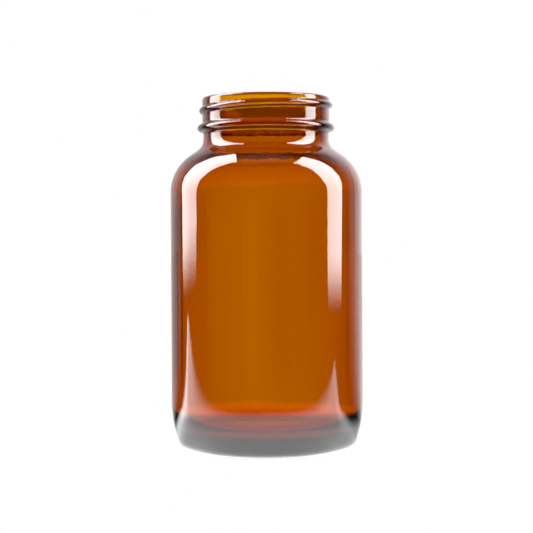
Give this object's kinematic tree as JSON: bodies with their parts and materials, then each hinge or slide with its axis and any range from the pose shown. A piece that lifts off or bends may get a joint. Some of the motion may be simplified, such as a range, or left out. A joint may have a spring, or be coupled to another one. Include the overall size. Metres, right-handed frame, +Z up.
{
  "type": "apothecary jar",
  "caption": "Open amber glass packer jar with straight round sides, rounded shoulder, wide mouth, beaded neck and a right-hand screw thread; no closure.",
  "frame": {"origin": "centre of the bearing ring under the base, in the plane the jar stands on", "axes": "+Z up along the jar's axis and out of the mouth, -Y towards the front, where the thread is highest on the right; +X right"},
  "size_m": [0.0754, 0.0754, 0.1378],
  "materials": {
    "amber_glass": "clear amber container glass, fire-polished and glossy inside and out"
  },
  "bodies": {
    "root": {"glass_jar": "amber_glass"}
  },
  "joints": []
}
